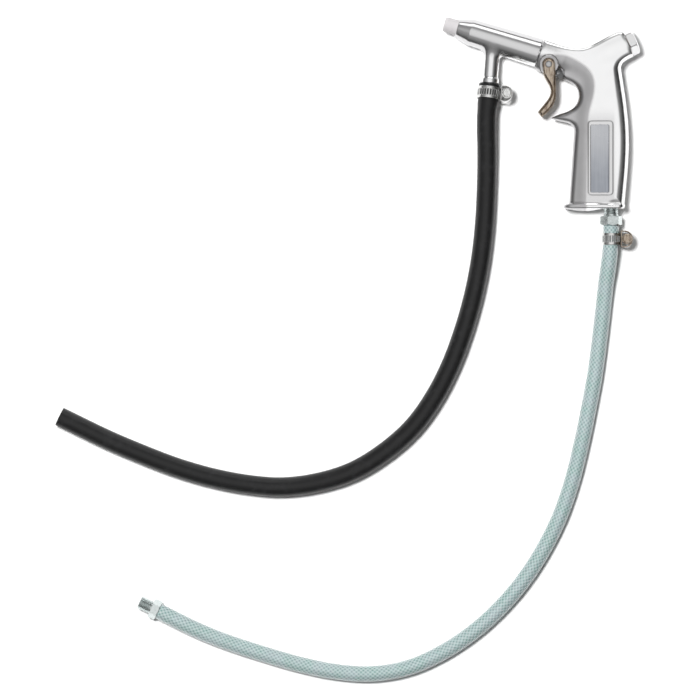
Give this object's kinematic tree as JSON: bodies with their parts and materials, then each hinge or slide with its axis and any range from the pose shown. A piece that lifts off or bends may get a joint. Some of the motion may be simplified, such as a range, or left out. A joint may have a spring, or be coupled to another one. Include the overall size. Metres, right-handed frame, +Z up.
{
  "type": "suction blast gun",
  "caption": "Hand-held siphon-fed abrasive blast gun in cast metal, with a trigger air valve, a ceramic nozzle, a rubber suction hose and a clear braided air hose.",
  "frame": {"origin": "centre of the gun's footprint on the table, taken without the hoses and what is on them, with the gun lying on its side", "axes": "+X to the rear of the gun, +Y from the grip's foot towards the head, +Z up, square to the gun's middle plane"},
  "size_m": [0.5738, 0.6513, 0.029],
  "materials": {
    "cast_aluminium": "tumbled and polished die casting, satin with bright rims",
    "ceramic": "matt off-white alumina ceramic",
    "gold_zinc_steel": "yellow zinc plated pressed steel",
    "zinc_steel": "clear zinc plated turned steel",
    "clamp_steel": "bright rolled steel strip",
    "plain_steel": "turned steel",
    "brass": "turned brass",
    "seal_rubber": "matt black nitrile",
    "fibre": "pressed fibre",
    "suction_rubber": "semi-matt black extruded rubber",
    "clear_vinyl": "translucent aqua vinyl over a diamond braid"
  },
  "bodies": {
    "gun": {"gun_body": "cast_aluminium", "mixing_barrel": "cast_aluminium", "rear_cap": "cast_aluminium", "ceramic_nozzle": "ceramic", "air_clamp_housing": "gold_zinc_steel", "inlet_nipple": "zinc_steel", "supply_nipple": "zinc_steel", "suction_clamp_band": "clamp_steel", "suction_clamp_housing": "clamp_steel", "air_clamp_band": "clamp_steel", "air_jet": "plain_steel", "valve_spring": "plain_steel", "gland_nut": "plain_steel", "trigger_pin": "plain_steel", "trigger_pin_clip": "plain_steel", "valve_seat": "brass", "nozzle_o_ring": "seal_rubber", "jet_washer": "fibre", "rear_cap_seal": "fibre", "gland_packing": "fibre", "inlet_seal": "fibre", "suction_hose": "suction_rubber", "air_hose": "clear_vinyl"},
    "trigger": {"trigger": "gold_zinc_steel"},
    "valve": {"valve_stem": "plain_steel", "valve_disc": "brass", "valve_face_seal": "seal_rubber"},
    "suction_screw": {"suction_clamp_screw": "clamp_steel"},
    "air_screw": {"air_clamp_screw": "gold_zinc_steel"}
  },
  "joints": [
    {"name": "trigger_pull", "type": "hinge", "parent": "gun", "child": "trigger", "pos_m": [0.0068, 0.0687, 0.0145], "axis": [0, 0, 1], "range_deg": [0, 10], "stiffness_Nm_per_rad": 0.24, "springref_deg": -34.38},
    {"name": "valve_travel", "type": "slide", "parent": "gun", "child": "valve", "axis": [0.9171, 0.3987, 0], "range_m": [0, 0.0023], "deforming": ["valve_spring"]},
    {"name": "suction_screw_turn", "type": "hinge", "parent": "gun", "child": "suction_screw", "pos_m": [-0.03434, 0.03908, 0.0145], "axis": [0.0089, 0.1215, 0.9925], "continuous": true},
    {"name": "air_screw_turn", "type": "hinge", "parent": "gun", "child": "air_screw", "pos_m": [0.08325, -0.1023, 0.0172], "axis": [0, 0, 1], "continuous": true}
  ],
  "couplings": [
    {"joint": "valve_travel", "follows": "trigger_pull", "m_per_rad": 0.0128}
  ]
}
